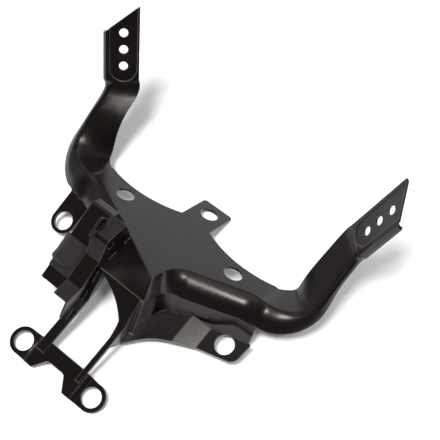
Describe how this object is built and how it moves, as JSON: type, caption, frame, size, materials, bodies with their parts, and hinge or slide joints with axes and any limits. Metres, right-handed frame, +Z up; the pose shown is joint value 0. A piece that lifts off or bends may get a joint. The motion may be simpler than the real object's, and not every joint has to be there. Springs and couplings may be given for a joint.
{
  "type": "motorcycle fairing stay",
  "caption": "Welded pressed-steel fairing stay: drilled instrument plate between two upswept mirror arms, with a windowed neck down to a lugged frame mount and side brackets.",
  "frame": {"origin": "midway between the two frame-mount holes, on the rear face of their ring lugs", "axes": "+X across the bike to its right, +Y forward towards the nose, +Z up off the bench the stay rests on"},
  "size_m": [0.3372, 0.2924, 0.1317],
  "materials": {
    "black_paint": "satin black stove enamel on steel",
    "sleeve_rubber": "matt moulded rubber"
  },
  "bodies": {
    "root": {"main_pressing": "black_paint", "frame_mount_plate": "black_paint", "neck_pressing": "black_paint", "right_side_lug": "black_paint", "left_side_lug": "black_paint", "harness_bracket": "black_paint", "relay_bracket": "black_paint", "relay_sleeve": "sleeve_rubber"}
  },
  "joints": []
}
